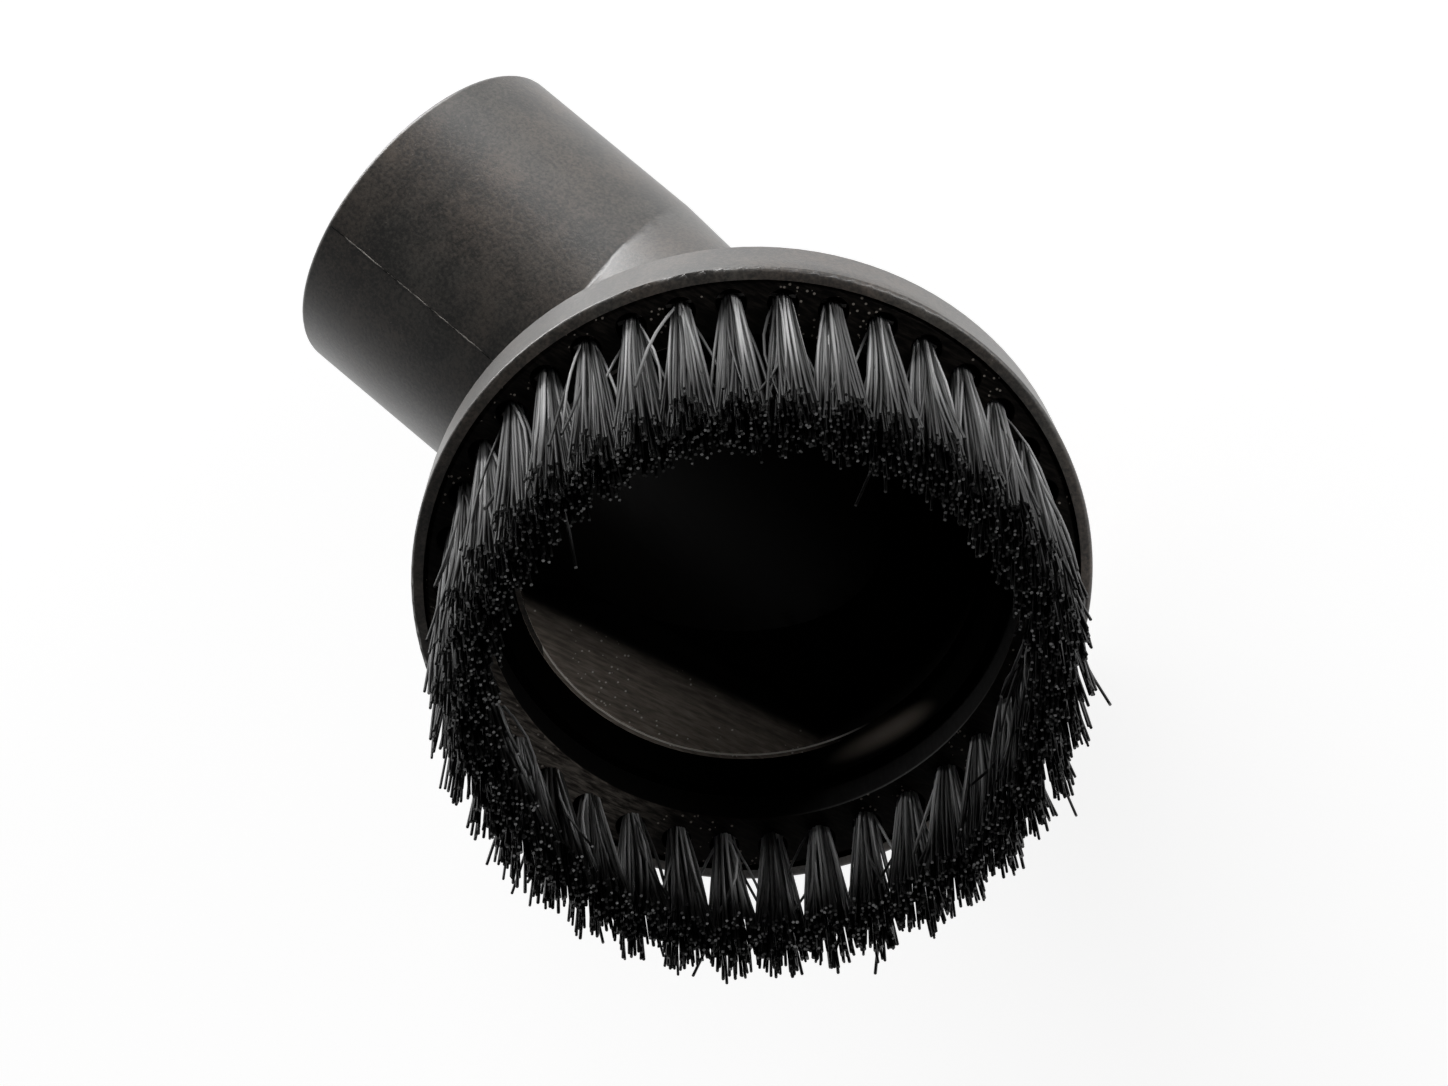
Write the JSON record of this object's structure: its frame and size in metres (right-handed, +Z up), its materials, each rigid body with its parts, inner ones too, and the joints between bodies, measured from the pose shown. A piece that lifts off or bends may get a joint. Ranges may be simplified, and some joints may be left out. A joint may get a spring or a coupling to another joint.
{
  "type": "vacuum dusting brush",
  "caption": "Round dusting brush for a vacuum cleaner: an angled socket tube on a moulded bell, with a ring of bristle tufts round the suction mouth.",
  "frame": {"origin": "middle of the part's box on the table that it lies on, bottom centre", "axes": "+Z up, +X from the bristles towards the tube's open end, and the plane Y = 0 is the plane of symmetry. The part lies on its back, on the back edge of the rim and the back of the neck"},
  "size_m": [0.1045, 0.066, 0.067],
  "materials": {
    "housing_plastic": "fine matte grain",
    "ring_plastic": "smooth, slightly dusty",
    "bristle": "nylon bristles with cut tips",
    "anchor_metal": "bare strip"
  },
  "bodies": {
    "root": {"housing": "housing_plastic", "bristle_ring": "ring_plastic", "tuft_01": "bristle", "tuft_02": "bristle", "tuft_03": "bristle", "tuft_04": "bristle", "tuft_05": "bristle", "tuft_06": "bristle", "tuft_07": "bristle", "tuft_08": "bristle", "tuft_09": "bristle", "tuft_10": "bristle", "tuft_11": "bristle", "tuft_12": "bristle", "tuft_13": "bristle", "tuft_14": "bristle", "tuft_15": "bristle", "tuft_16": "bristle", "tuft_17": "bristle", "tuft_18": "bristle", "tuft_19": "bristle", "tuft_20": "bristle", "tuft_21": "bristle", "tuft_22": "bristle", "tuft_23": "bristle", "tuft_24": "bristle", "tuft_25": "bristle", "tuft_26": "bristle", "tuft_27": "bristle", "tuft_28": "bristle", "tuft_29": "bristle", "tuft_30": "bristle", "tuft_31": "bristle", "tuft_32": "bristle", "tuft_33": "bristle", "tuft_34": "bristle", "tuft_35": "bristle", "tuft_36": "bristle", "tuft_37": "bristle", "tuft_38": "bristle", "tuft_anchors": "anchor_metal"}
  },
  "joints": []
}
